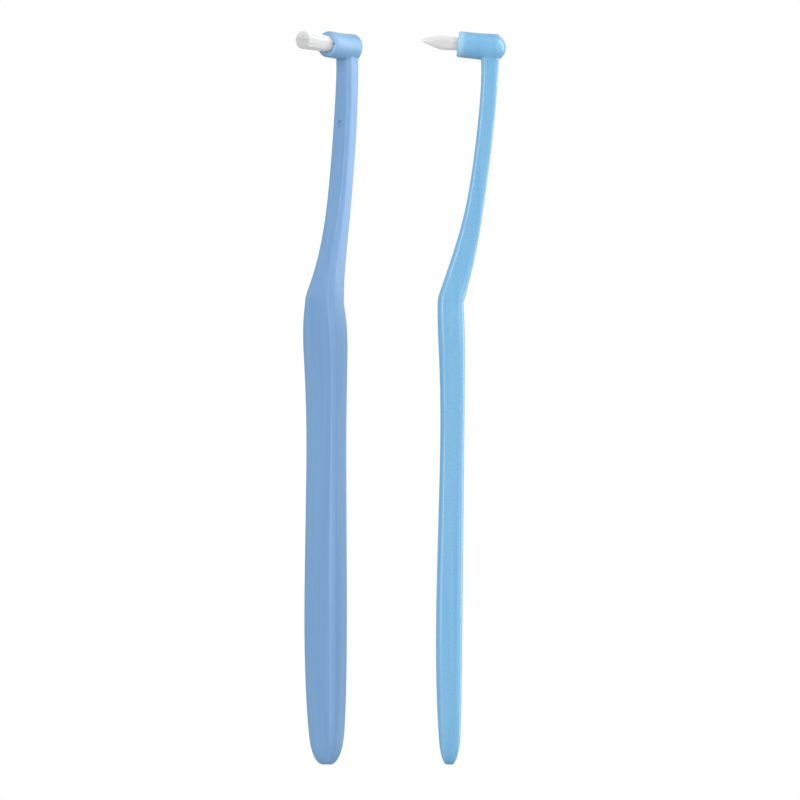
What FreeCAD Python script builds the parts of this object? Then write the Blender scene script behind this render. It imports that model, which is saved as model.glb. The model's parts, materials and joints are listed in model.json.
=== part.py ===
import FreeCAD, Part
import math
import os

Vector = FreeCAD.Vector

# Two single-tuft brushes stand upright side by side, in millimetres and degrees. They share one handle,
# neck and head. Each tuft is filaments folded round a metal anchor in the head.
BRUSH_SPACING = 27.6
POINTED_LEAN = 0.58
FLAT_TURN = 52.0

# Handle: a straight bar with a flat back, in stretches up from its lower end. Its skin runs smoothly
# along the sections given here, a little inside the widest ones.
TAIL_ROUND = 7.75
BELLY_LENGTH = 21.9
WAIST_LENGTH = 48.8
SHOULDER_LENGTH = 18.2
BEND_LENGTH = 7.15
TAIL_WIDTH = 7.95
TAIL_THICKNESS = 5.25
BELLY_WIDTH = 9.65
BELLY_THICKNESS = 6.35
WAIST_WIDTH = 7.9
WAIST_THICKNESS = 4.95
SHOULDER_WIDTH = 10.35
SHOULDER_THICKNESS = 6.25
BEND_WIDTH = 8.0
BEND_THICKNESS = 5.85
BACK_OFFSET = 2.7
CORNER_SHARE = 0.25

# Neck: bends back at the shoulder, sharp behind and soft in front, then straightens towards the head.
BEND_ANGLE = 17.65
BEND_RADIUS = 1.0
BEND_HOLLOW = 0.5
NECK_RISE = 56.45
NECK_SETBACK = 8.5
NECK_TOP_ANGLE = 2.6
NECK_WIDTH = 4.8
NECK_TOP_WIDTH = 4.2
NECK_THICKNESS = 3.65
ROOT_FLARE = 0.6
MARK_DROP = 16.9
MARK_RADIUS = 0.85
MARK_DEPTH = 0.12

# Head: a short barrel across the top of the neck, domed behind, its mouth a little higher than its back.
BARREL_TILT = 5.6
NOSE_LENGTH = 7.7
NOSE_FIT_LENGTH = 4.5
NOSE_RADIUS = 2.95
REAR_LENGTH = 3.2
REAR_RADIUS = 3.2
DOME_HEIGHT = 1.7
EDGE_BREAK = 0.35

# Tuft hole and anchor, the plate that the filaments fold round.
HOLE_DEPTH = 6.6
ANCHOR_DEPTH = 4.4
ANCHOR_HEIGHT = 1.6
ANCHOR_THICKNESS = 0.3
ANCHOR_BITE = 0.35
ANCHOR_CLEARANCE = 0.02
POINTED_HOLE_RADIUS = 1.55
FLAT_HOLE_RADIUS = 1.85

# Filaments: lengths are what stands out of the head, at the middle and at the edge of the tuft.
FILAMENT_RADIUS = 0.21
FILAMENT_GAP = 0.03
POINTED_LENGTH = 8.8
POINTED_EDGE_LENGTH = 3.2
POINTED_SPREAD = 4.0
FLAT_LENGTH = 10.1
FLAT_EDGE_LENGTH = 9.5
FLAT_SPREAD = 1.9

OVERRUN = 1.0

# Rounded lower end: height as a share of its own, then size as a share of the full section.
TAIL_SECTION_SHARES = ((0.0, 0.22), (0.0, 0.35), (0.13, 0.62), (0.47, 0.85), (1.0, 1.0))
# Neck sections: share of the way up, then of the bend's extra width and thickness left there.
NECK_SECTION_SHARES = (
    (0.08, 0.32, 0.83),
    (0.19, 0.03, 0.54),
    (0.36, 0.0, 0.02),
    (0.70, 0.0, 0.0),
)
# Root sections: drop below the barrel's axis, as a share of its radius, then share of the flare.
ROOT_SECTION_SHARES = ((1.5, 0.0), (0.9, 0.8), (0.0, 1.0))
# How far the neck's line keeps its direction at either end, as a share of its rise.
NECK_FOOT_PULL_SHARE = 0.405
NECK_TOP_PULL_SHARE = 0.375
# A filament's rounded tip, as a share of its radius, and how late the trim falls off towards the edge.
TIP_SHARE = 0.55
POINTED_TRIM_POWER = 1.25
FLAT_TRIM_POWER = 3.0

SKIN_DEGREE = 3
CORNER_PARTS = 4
BEND_STEPS = 2
FILAMENT_SIDES = 5
FOLD_STEPS = 3

BELLY_HEIGHT = TAIL_ROUND + BELLY_LENGTH
WAIST_HEIGHT = BELLY_HEIGHT + WAIST_LENGTH
SHOULDER_HEIGHT = WAIST_HEIGHT + SHOULDER_LENGTH
BEND_HEIGHT = SHOULDER_HEIGHT + BEND_LENGTH
ACROSS = Vector(0, 1, 0)


def upward(angle):
    """Along a path that leans back by this angle."""
    lean = math.radians(angle)
    return Vector(math.sin(lean), 0, math.cos(lean))


def backward(angle):
    """Square to that path, towards the back of the brush."""
    lean = math.radians(angle)
    return Vector(math.cos(lean), 0, -math.sin(lean))


def section(centre, angle, width, thickness):
    """A rounded rectangle across the path, as short corner arcs of a start, a pull and an end each."""
    radius = CORNER_SHARE * thickness
    sides = [backward(angle), ACROSS, backward(angle) * -1, ACROSS * -1]
    insets = [thickness / 2 - radius, width / 2 - radius] * 2
    half_part = math.pi / 4 / CORNER_PARTS
    arcs = []
    for side in range(4):
        start, stop = sides[side], sides[(side + 1) % 4]
        middle = centre + start * insets[side] + stop * insets[(side + 1) % 4]
        for part in range(CORNER_PARTS):
            turns = [half_part * (2 * part + step) for step in range(3)]
            first, pull, last = (start * math.cos(turn) + stop * math.sin(turn) for turn in turns)
            pull = pull / math.cos(half_part)
            arcs.append([middle + reach * radius for reach in (first, pull, last)])
    return arcs


def tail_sections():
    centre = BACK_OFFSET - TAIL_THICKNESS / 2
    for height_share, size_share in TAIL_SECTION_SHARES:
        middle = Vector(centre, 0, TAIL_ROUND * height_share)
        yield section(middle, 0, TAIL_WIDTH * size_share, TAIL_THICKNESS * size_share)


def handle_sections():
    stations = (
        (BELLY_HEIGHT, BELLY_WIDTH, BELLY_THICKNESS),
        (WAIST_HEIGHT, WAIST_WIDTH, WAIST_THICKNESS),
        (SHOULDER_HEIGHT, SHOULDER_WIDTH, SHOULDER_THICKNESS),
    )
    for height, width, thickness in stations:
        yield section(Vector(BACK_OFFSET - thickness / 2, 0, height), 0, width, thickness)


def bend_centre(angle):
    """The middle of the section turned by this angle round the bend's axis, just behind the back."""
    axis = Vector(BACK_OFFSET - BEND_HOLLOW + BEND_RADIUS, 0, BEND_HEIGHT)
    return axis - backward(angle) * (BEND_RADIUS + BEND_THICKNESS / 2)


def bend_sections():
    for step in range(BEND_STEPS + 1):
        angle = BEND_ANGLE * step / BEND_STEPS
        yield section(bend_centre(angle), angle, BEND_WIDTH, BEND_THICKNESS)


NECK_FOOT = bend_centre(BEND_ANGLE)
HEAD_CENTRE = NECK_FOOT + Vector(NECK_SETBACK, 0, NECK_RISE)
NECK_LINE = Part.BezierCurve()
NECK_LINE.setPoles(
    [
        NECK_FOOT,
        NECK_FOOT + upward(BEND_ANGLE) * (NECK_RISE * NECK_FOOT_PULL_SHARE),
        HEAD_CENTRE - upward(NECK_TOP_ANGLE) * (NECK_RISE * NECK_TOP_PULL_SHARE),
        HEAD_CENTRE,
    ]
)


def neck_angle(along):
    tangent = NECK_LINE.tangent(along)[0]
    return math.degrees(math.atan2(tangent.x, tangent.z))


def neck_sections():
    for along, width_share, thickness_share in NECK_SECTION_SHARES:
        width = NECK_WIDTH + (BEND_WIDTH - NECK_WIDTH) * width_share
        thickness = NECK_THICKNESS + (BEND_THICKNESS - NECK_THICKNESS) * thickness_share
        yield section(NECK_LINE.value(along), neck_angle(along), width, thickness)


def root_sections():
    """The top of the neck, which flares forwards under the barrel and ends inside it."""
    for drop_share, flare_share in ROOT_SECTION_SHARES:
        flare = ROOT_FLARE * flare_share
        middle = HEAD_CENTRE - upward(NECK_TOP_ANGLE) * (REAR_RADIUS * drop_share)
        middle = middle - backward(NECK_TOP_ANGLE) * (flare / 2)
        yield section(middle, NECK_TOP_ANGLE, NECK_TOP_WIDTH, NECK_THICKNESS + flare)


def strip(lines, pull_weight):
    """A strip of skin: flat between two lines of points, or an arc round a line of pulls between them."""
    turns = len(lines) - 1
    spans = len(lines[0]) - SKIN_DEGREE
    weights = [[1] * len(line) for line in lines]
    weights[1:-1] = [[pull_weight] * len(line) for line in lines[1:-1]]
    end_count = SKIN_DEGREE + 1
    surface = Part.BSplineSurface()
    surface.buildFromPolesMultsKnots(
        lines,
        [turns + 1, turns + 1],
        [end_count] + [1] * (spans - 1) + [end_count],
        [0, 1],
        list(range(spans + 1)),
        False,
        False,
        turns,
        SKIN_DEGREE,
        weights,
    )
    return surface


def skinned(sections):
    """One closed solid whose skin runs smoothly along all the sections."""
    pull_weight = math.cos(math.pi / 4 / CORNER_PARTS)
    arcs = [[list(line) for line in zip(*arc)] for arc in zip(*sections)]
    strips = []
    for number, arc in enumerate(arcs, start=1):
        strips.append(strip(arc, pull_weight))
        if number % CORNER_PARTS == 0:
            following = arcs[number % len(arcs)]
            strips.append(strip([arc[-1], following[0]], pull_weight))
    faces = [surface.toShape() for surface in strips]
    for end in (0, len(sections) - SKIN_DEGREE):
        outline = Part.Wire([surface.vIso(end).toShape() for surface in strips])
        faces.append(Part.Face(outline))
    shell = Part.Shell(faces)
    shell.sewShape()
    return Part.makeSolid(shell)


FORWARD = backward(BARREL_TILT) * -1
UP = upward(BARREL_TILT)


def head_point(forward, up):
    """A point in the brush's middle plane, measured along and square to the barrel's axis."""
    return HEAD_CENTRE + FORWARD * forward + UP * up


def barrel():
    """The head, turned about its tilted axis: domed behind, with a straight nose that a cap fits."""
    dome_edge = DOME_HEIGHT - REAR_LENGTH
    dome_reach = REAR_RADIUS - EDGE_BREAK
    dome_radius = (dome_reach**2 + DOME_HEIGHT**2) / (2 * DOME_HEIGHT)
    half_turn = math.asin(dome_reach / dome_radius) / 2
    dome_sag = dome_radius * (1 - math.cos(half_turn))
    apex = head_point(-REAR_LENGTH, 0)
    dome_middle = head_point(dome_sag - REAR_LENGTH, dome_radius * math.sin(half_turn))
    dome_end = head_point(dome_edge, dome_reach)
    rear_end = head_point(dome_edge + EDGE_BREAK, REAR_RADIUS)
    fit_end = head_point(NOSE_LENGTH - NOSE_FIT_LENGTH, NOSE_RADIUS)
    nose_end = head_point(NOSE_LENGTH - EDGE_BREAK, NOSE_RADIUS)
    rim = head_point(NOSE_LENGTH, NOSE_RADIUS - EDGE_BREAK)
    mouth = head_point(NOSE_LENGTH, 0)
    profile = Part.Wire(
        [
            Part.Arc(apex, dome_middle, dome_end).toShape(),
            Part.makeLine(dome_end, rear_end),
            Part.makeLine(rear_end, fit_end),
            Part.makeLine(fit_end, nose_end),
            Part.makeLine(nose_end, rim),
            Part.makeLine(rim, mouth),
            Part.makeLine(mouth, apex),
        ]
    )
    return Part.Face(profile).revolve(HEAD_CENTRE, FORWARD, 360)


def neck_mark():
    """The shallow round mark that an ejector pin leaves on the front of the neck."""
    along = 1 - MARK_DROP / NECK_RISE
    forward = backward(neck_angle(along)) * -1
    floor = NECK_LINE.value(along) + forward * (NECK_THICKNESS / 2 - MARK_DEPTH)
    return Part.makeCylinder(MARK_RADIUS, MARK_DEPTH + OVERRUN, floor, forward)


def anchor_plate(hole_radius, clearance, height):
    """A plate across the hole, its lower edge at the folds, bedded in the wall at both ends."""
    half_width = ACROSS * (hole_radius + ANCHOR_BITE + clearance)
    half_thickness = UP * (ANCHOR_THICKNESS / 2 + clearance)
    edge = head_point(NOSE_LENGTH - ANCHOR_DEPTH - clearance, 0)
    corners = [
        edge - half_width - half_thickness,
        edge + half_width - half_thickness,
        edge + half_width + half_thickness,
        edge - half_width + half_thickness,
    ]
    return Part.Face(Part.makePolygon(corners + corners[:1])).extrude(FORWARD * height)


def handle(hole_radius):
    """Handle, neck and barrel in one moulding, with the tuft hole and the anchor's two notches."""
    bar = skinned(
        [*tail_sections(), *handle_sections(), *bend_sections(), *neck_sections(), *root_sections()]
    )
    hole_floor = head_point(NOSE_LENGTH - HOLE_DEPTH, 0)
    hole = Part.makeCylinder(hole_radius, HOLE_DEPTH + OVERRUN, hole_floor, FORWARD)
    notches = anchor_plate(hole_radius, ANCHOR_CLEARANCE, ANCHOR_DEPTH + OVERRUN)
    return bar.fuse(barrel()).cut([hole, notches, neck_mark()])


def strand_section(centre, radial, radius):
    """The filament's outline across its own run."""
    points = []
    for side in range(FILAMENT_SIDES):
        turn = 2 * math.pi * side / FILAMENT_SIDES
        points.append(centre + (radial * math.cos(turn) + ACROSS * math.sin(turn)) * radius)
    return Part.makePolygon(points + points[:1])


def leg_sections(tuft, offset, row, side):
    """One half of a filament, from its rounded tip back to the fold."""
    share = math.hypot(offset, row) / tuft["hole_radius"]
    length = tuft["length"] - (tuft["length"] - tuft["edge_length"]) * share ** tuft["trim_power"]
    spread = math.tan(math.radians(tuft["spread"]) * share)
    radial = UP * side
    run = FORWARD + (radial * offset + ACROSS * row).normalize() * spread
    fold = head_point(NOSE_LENGTH - ANCHOR_DEPTH, 0) + radial * offset + ACROSS * row
    mouth = fold + FORWARD * ANCHOR_DEPTH
    yield strand_section(mouth + run * length, radial, FILAMENT_RADIUS * TIP_SHARE)
    yield strand_section(mouth + run * (length - FILAMENT_RADIUS), radial, FILAMENT_RADIUS)
    yield strand_section(mouth, radial, FILAMENT_RADIUS)
    yield strand_section(fold, radial, FILAMENT_RADIUS)


def folded_filament(tuft, offset, row):
    """One filament: in along one side of the anchor, round its lower edge and out along the other."""
    sections = list(leg_sections(tuft, offset, row, 1))
    edge = head_point(NOSE_LENGTH - ANCHOR_DEPTH, 0) + ACROSS * row
    for step in range(1, FOLD_STEPS):
        turn = math.pi * step / FOLD_STEPS
        radial = UP * math.cos(turn) - FORWARD * math.sin(turn)
        sections.append(strand_section(edge + radial * offset, radial, FILAMENT_RADIUS))
    sections.extend(reversed(list(leg_sections(tuft, offset, row, -1))))
    return Part.makeLoft(sections, True, True)


def filament_layers(tuft):
    """Filaments nested fold in fold, as many as the hole takes, layer by layer outwards."""
    pitch = 2 * FILAMENT_RADIUS + FILAMENT_GAP
    room = tuft["hole_radius"] - FILAMENT_GAP - FILAMENT_RADIUS
    offset = ANCHOR_THICKNESS / 2 + FILAMENT_GAP + FILAMENT_RADIUS
    layers = []
    while offset < room:
        stagger = pitch / 2 * (len(layers) % 2)
        half_row = math.sqrt(room**2 - offset**2)
        first = math.ceil((-half_row - stagger) / pitch)
        last = math.floor((half_row - stagger) / pitch)
        rows = [stagger + pitch * index for index in range(first, last + 1)]
        layers.append([folded_filament(tuft, offset, row) for row in rows])
        offset += pitch * math.sin(math.pi / 3)
    return layers


POINTED = {
    "name": "pointed",
    "hole_radius": POINTED_HOLE_RADIUS,
    "length": POINTED_LENGTH,
    "edge_length": POINTED_EDGE_LENGTH,
    "spread": POINTED_SPREAD,
    "trim_power": POINTED_TRIM_POWER,
    "lean": POINTED_LEAN,
    "turn": 0,
    "place": 0,
}
FLAT = {
    "name": "flat",
    "hole_radius": FLAT_HOLE_RADIUS,
    "length": FLAT_LENGTH,
    "edge_length": FLAT_EDGE_LENGTH,
    "spread": FLAT_SPREAD,
    "trim_power": FLAT_TRIM_POWER,
    "lean": 0,
    "turn": FLAT_TURN,
    "place": -BRUSH_SPACING,
}


def stand(brush):
    """From a brush's lower end to where it stands, with the pointed one's belly at the origin."""
    lean = FreeCAD.Rotation(ACROSS, brush["lean"])
    turn = FreeCAD.Rotation(Vector(0, 0, 1), brush["turn"])
    foot = Vector(brush["place"], 0, -BELLY_HEIGHT)
    return FreeCAD.Placement(foot, turn.multiply(lean))


def export(shape, brush, piece):
    placed = shape.transformed(stand(brush).toMatrix(), True)
    placed.exportStep(os.path.join("parts", f"{brush['name']}_{piece}.step"))


os.makedirs("parts", exist_ok=True)
for brush in (POINTED, FLAT):
    export(handle(brush["hole_radius"]), brush, "handle")
    export(anchor_plate(brush["hole_radius"], 0, ANCHOR_HEIGHT), brush, "anchor")
    for number, layer in enumerate(filament_layers(brush), start=1):
        export(Part.makeCompound(layer), brush, f"filaments_layer_{number}")
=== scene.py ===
import json
import math
import random

import bpy
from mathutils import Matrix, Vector


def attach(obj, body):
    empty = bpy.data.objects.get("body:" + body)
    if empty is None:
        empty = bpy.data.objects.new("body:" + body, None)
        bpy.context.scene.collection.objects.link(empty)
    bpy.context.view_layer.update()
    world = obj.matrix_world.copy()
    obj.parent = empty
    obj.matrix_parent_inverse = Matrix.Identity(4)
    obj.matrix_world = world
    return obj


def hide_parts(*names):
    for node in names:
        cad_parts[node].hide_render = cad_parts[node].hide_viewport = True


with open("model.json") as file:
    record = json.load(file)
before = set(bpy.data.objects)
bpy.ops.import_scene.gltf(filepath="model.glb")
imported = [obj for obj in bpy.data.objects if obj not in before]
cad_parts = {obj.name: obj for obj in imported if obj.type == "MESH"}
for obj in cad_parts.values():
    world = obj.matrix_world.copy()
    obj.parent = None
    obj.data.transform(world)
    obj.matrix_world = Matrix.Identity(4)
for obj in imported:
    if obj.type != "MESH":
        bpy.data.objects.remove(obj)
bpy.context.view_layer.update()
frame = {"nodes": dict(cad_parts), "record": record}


# The two handles. Each is one injection moulding, grip, neck and barrel together, in polypropylene
# tinted in the mass: one cyan, one periwinkle blue. They stay as the CAD solids, at rest and in motion.
MM = 0.001
# The lighter tint towards each barrel's mouth is painted light, standing in for light let through the thin
# wall round the tuft. On the flat handle it fades out only 12 mm from the mouth, so much of that barrel is
# painted lighter too.
HANDLES = {
    "pointed_handle": {
        "mount": "pointed_nose",
        "body": "#77B5DE",
        "streak": "#85BDE1",
        "wall": "#A4D4F0",
        "painted_light_reach": 3.5 * MM,
        "gloss": (0.24, 0.32),
    },
    "flat_handle": {
        "mount": "flat_nose",
        "body": "#76A2CF",
        "streak": "#80AAD5",
        "wall": "#8DB7DF",
        "painted_light_reach": 12.0 * MM,
        "gloss": (0.4, 0.48),
    },
}
MOUNT_TO_MOUTH = 2.425 * MM
MOUTH_RIM = 2.95 * MM
FLOW_STREAK_WIDTH = 1.2 * MM
FLOW_STREAK_LENGTH = 60.0 * MM
FLOW_STREAK_DETAIL = 2.0
FLOW_STREAK_CONTRAST = (0.3, 0.7)
POLISH_GRAIN = 0.45 * MM
POLISH_DETAIL = 3.0
POLISH_HEIGHT = 0.02 * MM
POLISH_STRENGTH = 0.2
POLYPROPYLENE_IOR = 1.49
POLYPROPYLENE_MILKINESS = 0.25
POLYPROPYLENE_LIGHT_DEPTH = 1.5 * MM
POLYPROPYLENE_LIGHT_SHARES = (0.7, 0.9, 1.0)
SEAM_WIDTH = 0.001 * MM
CREASE_ANGLE = 50.0


def linear(hex_colour):
    """An sRGB hex colour as the linear numbers that Blender's sockets take."""
    shares = [int(hex_colour[start : start + 2], 16) / 255 for start in (1, 3, 5)]
    values = [share / 12.92 if share <= 0.04045 else ((share + 0.055) / 1.055) ** 2.4 for share in shares]
    return (*values, 1.0)


def add_node(tree, kind, settings, values):
    """One node with its settings; each value is a plain one, or the socket that feeds it."""
    node = tree.nodes.new(kind)
    for name, setting in settings.items():
        setattr(node, name, setting)
    for socket, value in values.items():
        if isinstance(value, bpy.types.NodeSocket):
            tree.links.new(value, node.inputs[socket])
        else:
            node.inputs[socket].default_value = value
    return node


def mixed_colour(tree, share, first, second):
    """The colour between two others. Blender numbers this node's colours 6 and 7 going in, 2 coming out."""
    return add_node(tree, "ShaderNodeMix", {"data_type": "RGBA"}, {0: share, 6: first, 7: second}).outputs[2]


def nose(mount_name):
    """The middle of the barrel's mouth, and the way that it faces."""
    mount = next(m for m in frame["record"]["mounts"] if m["name"] == mount_name)
    outward = Vector(mount["axis"]).normalized()
    return Vector(mount["pos_m"]) + outward * MOUNT_TO_MOUTH, outward


def moulded_polypropylene(name, tints):
    """Polypropylene from a polished mould: a soft gloss over a milky tint that lets some light in.
    Pigment drawn out along the flow leaves faint long streaks. Towards the tuft's mouth the tint is
    painted lighter: painted light that stands in for light let through the thin wall there."""
    material = bpy.data.materials.new(name)
    material.use_nodes = True
    tree = material.node_tree
    shader = tree.nodes["Principled BSDF"]
    place = add_node(tree, "ShaderNodeTexCoord", {}, {}).outputs["Object"]
    across, along = 1 / FLOW_STREAK_WIDTH, 1 / FLOW_STREAK_LENGTH
    drawn_out = add_node(tree, "ShaderNodeMapping", {}, {"Vector": place, "Scale": (across, across, along)})
    streaks = add_node(
        tree,
        "ShaderNodeTexNoise",
        {},
        {"Vector": drawn_out.outputs[0], "Scale": 1.0, "Detail": FLOW_STREAK_DETAIL},
    )
    faint, full = FLOW_STREAK_CONTRAST
    strength = add_node(
        tree, "ShaderNodeMapRange", {}, {"Value": streaks.outputs["Fac"], "From Min": faint, "From Max": full}
    )
    mass = mixed_colour(tree, strength.outputs["Result"], linear(tints["body"]), linear(tints["streak"]))
    mouth = nose(tints["mount"])[0]
    from_mouth = add_node(tree, "ShaderNodeVectorMath", {"operation": "DISTANCE"}, {0: place, 1: mouth})
    # Painted light: within this reach of the mouth the tint turns lighter, standing in for light let through
    # the thin wall. The flat handle's long reach paints much of its barrel lighter.
    wall = add_node(
        tree,
        "ShaderNodeMapRange",
        {"interpolation_type": "SMOOTHSTEP"},
        {"Value": from_mouth.outputs["Value"], "From Min": tints["painted_light_reach"], "From Max": MOUTH_RIM},
    )
    tint = mixed_colour(tree, wall.outputs["Result"], mass, linear(tints["wall"]))
    # The mould's polish lines are a few hundredths of a millimetre apart and are drawn coarser to show.
    polish = add_node(
        tree, "ShaderNodeTexNoise", {}, {"Vector": place, "Scale": 1 / POLISH_GRAIN, "Detail": POLISH_DETAIL}
    )
    smooth, dull = tints["gloss"]
    gloss = add_node(
        tree, "ShaderNodeMapRange", {}, {"Value": polish.outputs["Fac"], "To Min": smooth, "To Max": dull}
    )
    skin = add_node(
        tree,
        "ShaderNodeBump",
        {},
        {"Strength": POLISH_STRENGTH, "Distance": POLISH_HEIGHT, "Height": polish.outputs["Fac"]},
    )
    tree.links.new(tint, shader.inputs["Base Color"])
    tree.links.new(gloss.outputs["Result"], shader.inputs["Roughness"])
    tree.links.new(skin.outputs["Normal"], shader.inputs["Normal"])
    shader.inputs["IOR"].default_value = POLYPROPYLENE_IOR
    shader.inputs["Subsurface Weight"].default_value = POLYPROPYLENE_MILKINESS
    shader.inputs["Subsurface Radius"].default_value = POLYPROPYLENE_LIGHT_SHARES
    shader.inputs["Subsurface Scale"].default_value = POLYPROPYLENE_LIGHT_DEPTH
    return material


def even_skin(handle):
    """Joins the solid's faces where they meet smoothly, so that light runs over them without a break."""
    tree = bpy.data.node_groups.new("joined_skin", "GeometryNodeTree")
    tree.interface.new_socket("Geometry", in_out="INPUT", socket_type="NodeSocketGeometry")
    tree.interface.new_socket("Geometry", in_out="OUTPUT", socket_type="NodeSocketGeometry")
    solid = add_node(tree, "NodeGroupInput", {}, {})
    joined = add_node(
        tree, "GeometryNodeMergeByDistance", {}, {"Geometry": solid.outputs[0], "Distance": SEAM_WIDTH}
    )
    angle = add_node(tree, "GeometryNodeInputMeshEdgeAngle", {}, {})
    crease = add_node(
        tree,
        "FunctionNodeCompare",
        {"operation": "GREATER_THAN"},
        {0: angle.outputs["Unsigned Angle"], 1: math.radians(CREASE_ANGLE)},
    )
    shaded = add_node(
        tree,
        "GeometryNodeSetMeshNormal",
        {"mode": "SHARPNESS"},
        {"Mesh": joined.outputs[0], "Remove Custom": True, "Edge Sharpness": crease.outputs[0]},
    )
    add_node(tree, "NodeGroupOutput", {}, {0: shaded.outputs[0]})
    handle.modifiers.new("joined_skin", "NODES").node_group = tree
    even = handle.modifiers.new("even_light", "WEIGHTED_NORMAL")
    even.keep_sharp = True


for node, tints in HANDLES.items():
    handle = frame["nodes"][node]
    handle.material_slots[0].material = moulded_polypropylene(f"moulded_polypropylene_{node}", tints)
    even_skin(handle)


# The two tufts. Each is a bundle of fine extruded nylon filaments, folded in half round an anchor at the
# bottom of the barrel's hole. One is trimmed to a point, the other to a soft round end.
ANCHOR_DEPTH = 4.4 * MM
ANCHOR_HALF_THICKNESS = 0.15 * MM
STRAND_RADIUS = 0.075 * MM
STRAND_GAP = 0.002 * MM
STRAND_SIDES = 5
FOLD_STEPS = 5
# From just above the anchor to the mouth the filaments close the slit that it leaves: those beside it
# come in by nearly the whole of this length, and those at the hole's wall hardly at all.
CLOSING = 0.175 * MM
CLOSING_DEPTH = 2.6 * MM
UNEVEN_TRIM = 0.06 * MM
STRAY_LEAN = 0.0008
TIP_RING_SHARES = ((0, 0.88), (0.4, 0.97), (1, 1))
LEG_RING_SHARES = (0.6, 0.25, 0)
STRAND_SEED = 7
TUFTS = {
    "pointed_tuft": {
        "mount": "pointed_nose",
        "body": "pointed_brush",
        "layers": 3,
        "hole_radius": 1.55 * MM,
        "length": 8.75 * MM,
        "edge_length": 3.2 * MM,
        "trim_power": 1.25,
        "spread": 4.0,
    },
    "flat_tuft": {
        "mount": "flat_nose",
        "body": "flat_brush",
        "layers": 4,
        "hole_radius": 1.85 * MM,
        "length": 10.05 * MM,
        "edge_length": 8.8 * MM,
        "trim_power": 2.6,
        "spread": 1.9,
    },
}
NYLON_CLEAREST = "#F8F8F9"
NYLON_WHITEST = "#FDFDFC"
NYLON_SATIN = (0.3, 0.45)
NYLON_IOR = 1.53
NYLON_MILKINESS = 0.3
NYLON_LIGHT_DEPTH = 0.5 * MM
DRAWING_LINE = 0.05 * MM
DRAWING_LINE_DETAIL = 2.0
chance = random.Random(STRAND_SEED)


def strand_leg(tuft, axes, offset, row, side):
    """Half a filament as centres, outward directions and radii, from the rounded tip to the fold."""
    mouth, outward, across, up = axes
    hole_radius = tuft["hole_radius"]
    share = math.hypot(offset, row) / hole_radius
    length = tuft["length"] - (tuft["length"] - tuft["edge_length"]) * share ** tuft["trim_power"]
    length -= chance.uniform(0, UNEVEN_TRIM)
    radial = up * side
    opening = math.tan(math.radians(tuft["spread"]))
    lean = (radial * offset + across * row).normalized() * opening * share
    lean += (radial * chance.uniform(-1, 1) + across * chance.uniform(-1, 1)) * STRAY_LEAN
    beside = mouth + radial * offset + across * row
    root = beside - radial * CLOSING * (1 - offset / hole_radius)

    def ring(run, radius_share):
        """One ring of the free leg. Crimp keeps a real bundle closed as it opens, so each filament is
        drawn wider there instead."""
        swell = 1 + opening * run / hole_radius
        return root + (outward + lean) * run, radial, STRAND_RADIUS * radius_share * swell

    rings = [ring(length - STRAND_RADIUS * reach, radius_share) for reach, radius_share in TIP_RING_SHARES]
    rings += [ring(length * share_out, 1) for share_out in LEG_RING_SHARES]
    rings += [(beside - outward * depth, radial, STRAND_RADIUS) for depth in (CLOSING_DEPTH, ANCHOR_DEPTH)]
    return rings


def folded_strand(tuft, axes, offset, row):
    """One whole filament: in along one side of the anchor, round its lower edge and out again."""
    mouth, outward, across, up = axes
    edge = mouth - outward * ANCHOR_DEPTH + across * row
    rings = strand_leg(tuft, axes, offset, row, 1)
    for step in range(1, FOLD_STEPS):
        turn = math.pi * step / FOLD_STEPS
        radial = up * math.cos(turn) - outward * math.sin(turn)
        rings.append((edge + radial * offset, radial, STRAND_RADIUS))
    rings.extend(reversed(strand_leg(tuft, axes, offset, row, -1)))
    return rings


def packed_rows(tuft):
    """Where filaments cross the hole, layer by layer outwards from the anchor, as close as they pack."""
    pitch = 2 * STRAND_RADIUS + STRAND_GAP
    room = tuft["hole_radius"] - STRAND_GAP - STRAND_RADIUS
    offset = ANCHOR_HALF_THICKNESS + STRAND_GAP + STRAND_RADIUS
    layer = 0
    while offset < room:
        stagger = pitch / 2 * (layer % 2)
        half_row = math.sqrt(room**2 - offset**2)
        first = math.ceil((-half_row - stagger) / pitch)
        last = math.floor((half_row - stagger) / pitch)
        for index in range(first, last + 1):
            yield offset, stagger + pitch * index
        offset += pitch * math.sin(math.pi / 3)
        layer += 1


def tuft_mesh(name, tuft):
    """All filaments of a tuft as closed tubes, each with a tone of its own for the nylon to use."""
    mouth, outward = nose(tuft["mount"])
    across = outward.cross(Vector((0, 0, 1))).normalized()
    up = across.cross(outward)
    axes = (mouth, outward, across, up)
    points, faces, tones = [], [], []
    for offset, row in packed_rows(tuft):
        rings = folded_strand(tuft, axes, offset, row)
        first = len(points)
        tone = chance.random()
        for centre, radial, radius in rings:
            for side in range(STRAND_SIDES):
                turn = 2 * math.pi * side / STRAND_SIDES
                points.append(centre + (radial * math.cos(turn) + across * math.sin(turn)) * radius)
                tones.append(tone)
        for ring in range(len(rings) - 1):
            here, there = first + ring * STRAND_SIDES, first + (ring + 1) * STRAND_SIDES
            for side in range(STRAND_SIDES):
                after = (side + 1) % STRAND_SIDES
                faces.append((here + side, here + after, there + after, there + side))
        faces.append(tuple(range(first + STRAND_SIDES - 1, first - 1, -1)))
        faces.append(tuple(range(len(points) - STRAND_SIDES, len(points))))
    mesh = bpy.data.meshes.new(name)
    mesh.from_pydata(points, [], faces)
    mesh.attributes.new("strand_tone", "FLOAT", "POINT").data.foreach_set("value", tones)
    mesh.polygons.foreach_set("use_smooth", [True] * len(faces))
    mesh.update()
    return mesh


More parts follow.
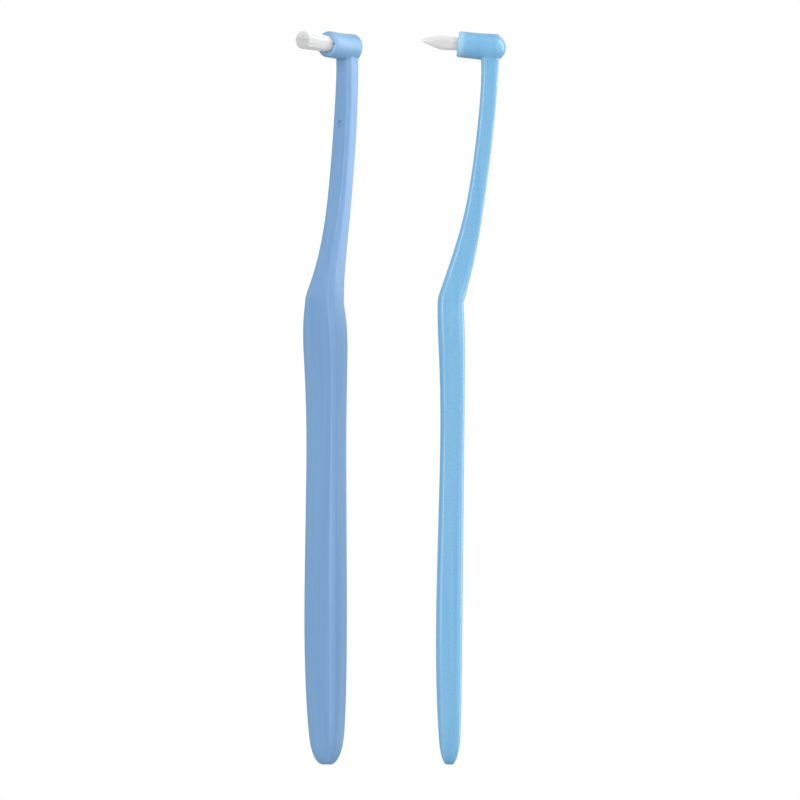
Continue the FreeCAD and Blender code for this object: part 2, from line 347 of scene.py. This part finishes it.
def extruded_nylon():
    """Natural nylon drawn through a die: a milky, half-clear white with a satin shine along each filament.
    No two filaments are quite as clear, so the bundle shows fine light and grey lines."""
    material = bpy.data.materials.new("extruded_nylon")
    material.use_nodes = True
    tree = material.node_tree
    shader = tree.nodes["Principled BSDF"]
    tone = add_node(tree, "ShaderNodeAttribute", {"attribute_name": "strand_tone"}, {})
    milk = mixed_colour(tree, tone.outputs["Fac"], linear(NYLON_CLEAREST), linear(NYLON_WHITEST))
    place = add_node(tree, "ShaderNodeTexCoord", {}, {}).outputs["Object"]
    # Drawing lines are finer than a hundredth of a millimetre and are drawn at a twentieth to show.
    lines = add_node(
        tree,
        "ShaderNodeTexNoise",
        {},
        {"Vector": place, "Scale": 1 / DRAWING_LINE, "Detail": DRAWING_LINE_DETAIL},
    )
    smooth, dull = NYLON_SATIN
    satin = add_node(
        tree, "ShaderNodeMapRange", {}, {"Value": lines.outputs["Fac"], "To Min": smooth, "To Max": dull}
    )
    tree.links.new(milk, shader.inputs["Base Color"])
    tree.links.new(satin.outputs["Result"], shader.inputs["Roughness"])
    shader.inputs["IOR"].default_value = NYLON_IOR
    shader.inputs["Subsurface Weight"].default_value = NYLON_MILKINESS
    shader.inputs["Subsurface Radius"].default_value = (1.0, 1.0, 1.0)
    shader.inputs["Subsurface Scale"].default_value = NYLON_LIGHT_DEPTH
    return material


nylon = extruded_nylon()
for name, tuft in TUFTS.items():
    mesh = tuft_mesh(name, tuft)
    mesh.materials.append(nylon)
    bundle = bpy.data.objects.new(name, mesh)
    bpy.context.scene.collection.objects.link(bundle)
    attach(bundle, tuft["body"])
    prefix = tuft["body"].split("_")[0]
    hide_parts(*[f"{prefix}_filaments_layer_{layer}" for layer in range(1, tuft["layers"] + 1)])


# The two anchors. Each is a short length of rolled brass strip, driven into the hole with the folded
# filaments, and its ends bite into the wall. They stay as the CAD solids, deep in the barrel.
BRASS_DARKER = "#D8B765"
BRASS_LIGHTER = "#E8CD86"
BRASS_SHINE = (0.2, 0.4)
ROLLING_LINE_WIDTH = 0.08 * MM
ROLLING_LINE_LENGTH = 10.0 * MM
ROLLING_LINE_DETAIL = 2.0


def rolled_brass():
    """Brass strip as it leaves the rolls: bright, with fine lines along the strip that spread its shine."""
    material = bpy.data.materials.new("rolled_brass")
    material.use_nodes = True
    tree = material.node_tree
    shader = tree.nodes["Principled BSDF"]
    place = add_node(tree, "ShaderNodeTexCoord", {}, {}).outputs["Object"]
    along, across = 1 / ROLLING_LINE_LENGTH, 1 / ROLLING_LINE_WIDTH
    rolled_out = add_node(tree, "ShaderNodeMapping", {}, {"Vector": place, "Scale": (along, along, across)})
    lines = add_node(
        tree,
        "ShaderNodeTexNoise",
        {},
        {"Vector": rolled_out.outputs[0], "Scale": 1.0, "Detail": ROLLING_LINE_DETAIL},
    )
    metal = mixed_colour(tree, lines.outputs["Fac"], linear(BRASS_DARKER), linear(BRASS_LIGHTER))
    smooth, dull = BRASS_SHINE
    shine = add_node(
        tree, "ShaderNodeMapRange", {}, {"Value": lines.outputs["Fac"], "To Min": smooth, "To Max": dull}
    )
    tree.links.new(metal, shader.inputs["Base Color"])
    tree.links.new(shine.outputs["Result"], shader.inputs["Roughness"])
    shader.inputs["Metallic"].default_value = 1.0
    return material


brass = rolled_brass()
for node in ("pointed_anchor", "flat_anchor"):
    frame["nodes"][node].material_slots[0].material = brass


# The surroundings: a white studio. The camera sees it fully white, and the brushes get a dimmer light from
# it, a little weaker from below.
WHITE = (1, 1, 1, 1)
SEEN_STRENGTH = 1.0
STRENGTH_FROM_BELOW = 0.42
STRENGTH_FROM_ABOVE = 0.56
LOWEST_RISE = -0.9
HIGHEST_RISE = 0.1
world = bpy.data.worlds.new("white_studio")
bpy.context.scene.world = world
world.use_nodes = True
studio = world.node_tree
studio.nodes.clear()
ray = add_node(studio, "ShaderNodeLightPath", {}, {})
way = add_node(studio, "ShaderNodeTexCoord", {}, {}).outputs["Generated"]
rise = add_node(studio, "ShaderNodeSeparateXYZ", {}, {"Vector": way}).outputs["Z"]
from_above = add_node(
    studio,
    "ShaderNodeMapRange",
    {"interpolation_type": "SMOOTHSTEP"},
    {
        "Value": rise,
        "From Min": LOWEST_RISE,
        "From Max": HIGHEST_RISE,
        "To Min": STRENGTH_FROM_BELOW,
        "To Max": STRENGTH_FROM_ABOVE,
    },
)
dim = add_node(
    studio, "ShaderNodeBackground", {}, {"Color": WHITE, "Strength": from_above.outputs["Result"]}
)
bright = add_node(studio, "ShaderNodeBackground", {}, {"Color": WHITE, "Strength": SEEN_STRENGTH})
seen = add_node(
    studio,
    "ShaderNodeMixShader",
    {},
    {0: ray.outputs["Is Camera Ray"], 1: dim.outputs[0], 2: bright.outputs[0]},
)
add_node(studio, "ShaderNodeOutputWorld", {}, {"Surface": seen.outputs[0]})


# The lights: two tall strip boxes in front, left and right of the camera, a large one at the right, which
# catches the barrels' tops and the handles' right edges, and a weak one overhead.
AIM = Vector((-0.011, 0, 0.0524))
SOFTBOXES = {
    "left_softbox": {"azimuth": -32, "elevation": 13, "distance": 2.0, "size": (0.35, 1.05), "power": 16},
    "right_softbox": {"azimuth": 40, "elevation": 13, "distance": 2.0, "size": (0.35, 1.05), "power": 9.5},
    "side_softbox": {"azimuth": 104, "elevation": 14, "distance": 1.8, "size": (0.9, 1.7), "power": 23},
    "overhead_softbox": {"azimuth": 0, "elevation": 70, "distance": 1.8, "size": (1.4, 1.4), "power": 2.5},
}
for name, box in SOFTBOXES.items():
    turn, height = math.radians(box["azimuth"]), math.radians(box["elevation"])
    level = Vector((math.sin(turn), -math.cos(turn), 0))
    towards = level * math.cos(height) + Vector((0, 0, math.sin(height)))
    light = bpy.data.lights.new(name, "AREA")
    light.shape = "RECTANGLE"
    light.size, light.size_y = box["size"]
    light.energy = box["power"]
    lamp = bpy.data.objects.new(name, light)
    lamp.location = AIM + towards * box["distance"]
    lamp.rotation_euler = towards.to_track_quat("Z", "Y").to_euler()
    lamp.visible_camera = False
    bpy.context.scene.collection.objects.link(lamp)


# The camera: a long lens, level with the middle of the brushes and square to the pair.
CAMERA_DISTANCE = 5.0
CAMERA_SIDE = -0.01103
CAMERA_HEIGHT = 0.0524
PICTURE_WIDTH = 0.18008
SENSOR_WIDTH = 36.0
eye = bpy.data.cameras.new("photo_view")
eye.sensor_width = SENSOR_WIDTH
eye.lens = SENSOR_WIDTH * CAMERA_DISTANCE / PICTURE_WIDTH
camera = bpy.data.objects.new("photo_view", eye)
camera.location = (CAMERA_SIDE, -CAMERA_DISTANCE, CAMERA_HEIGHT)
camera.rotation_euler = (math.pi / 2, 0, 0)
bpy.context.scene.collection.objects.link(camera)
bpy.context.scene.camera = camera
bpy.context.scene.view_settings.view_transform = "Standard"
